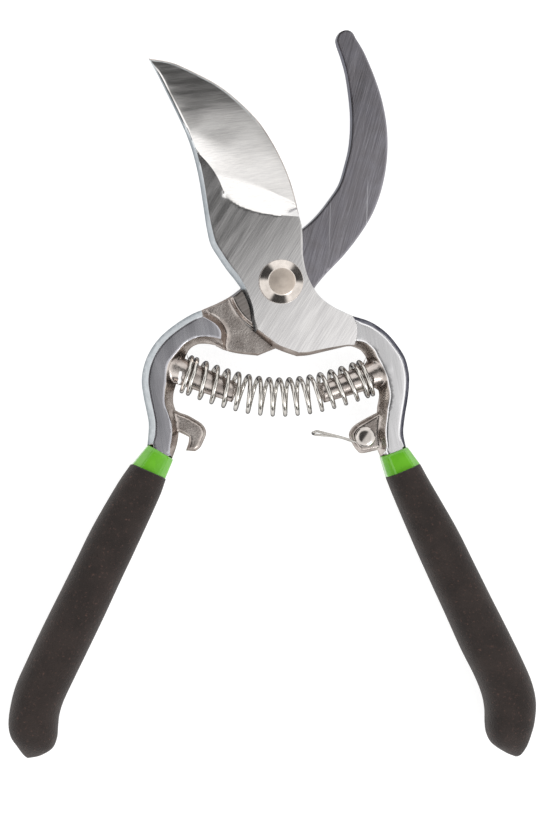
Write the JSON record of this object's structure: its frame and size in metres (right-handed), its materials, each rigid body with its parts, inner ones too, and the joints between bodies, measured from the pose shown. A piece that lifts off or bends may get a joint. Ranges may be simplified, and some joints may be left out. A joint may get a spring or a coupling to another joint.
{
  "type": "pruning shears",
  "caption": "Bypass pruning shears standing open: ground blade over a curved counter hook, bolted pivot, coil spring between the shanks, swinging wire catch and foam grips.",
  "frame": {"origin": "on the pivot's axis, at the rear end of the pivot bolt, which is the plane that the shears lie on", "axes": "+Y from the handles towards the jaws, +Z along the pivot towards the blade's side, +X towards the hook's side of the jaws"},
  "size_m": [0.143, 0.1984, 0.0179],
  "materials": {
    "blade_steel": "brushed and ground, with a mirror band on the hollow grind",
    "hook_steel": "brushed shank and jaw, satin forged tang",
    "bolt_steel": "bright with a turned face",
    "zinc_plate": "zinc plated",
    "nylon": "satin",
    "bright_wire": "bright nickel-chrome plate",
    "green_vinyl": "glossy dipped vinyl",
    "brown_foam": "matte foam with fine brown speckle"
  },
  "bodies": {
    "hook_half": {"hook_half": "hook_steel", "pivot_bolt": "bolt_steel", "spring_washer": "zinc_plate", "lock_nut": "zinc_plate", "nut_insert": "nylon", "return_spring": "bright_wire", "left_sleeve": "green_vinyl", "left_grip": "brown_foam"},
    "blade_half": {"blade_half": "blade_steel", "catch_rivet": "bright_wire", "rivet_washer": "bright_wire", "right_sleeve": "green_vinyl", "right_grip": "brown_foam"},
    "catch": {"catch_wire": "bright_wire"}
  },
  "joints": [
    {"name": "pivot", "type": "hinge", "parent": "hook_half", "child": "blade_half", "pos_m": [0, 0, 0.009], "axis": [0, 0, -1], "range_deg": [0, 41], "stiffness_Nm_per_rad": 0.7, "springref_deg": -9.74, "deforming": ["return_spring"]},
    {"name": "catch_swing", "type": "hinge", "parent": "blade_half", "child": "catch", "pos_m": [0.0231, -0.042, 0.009], "axis": [0, 0, 1], "range_deg": [-12, 75]}
  ]
}
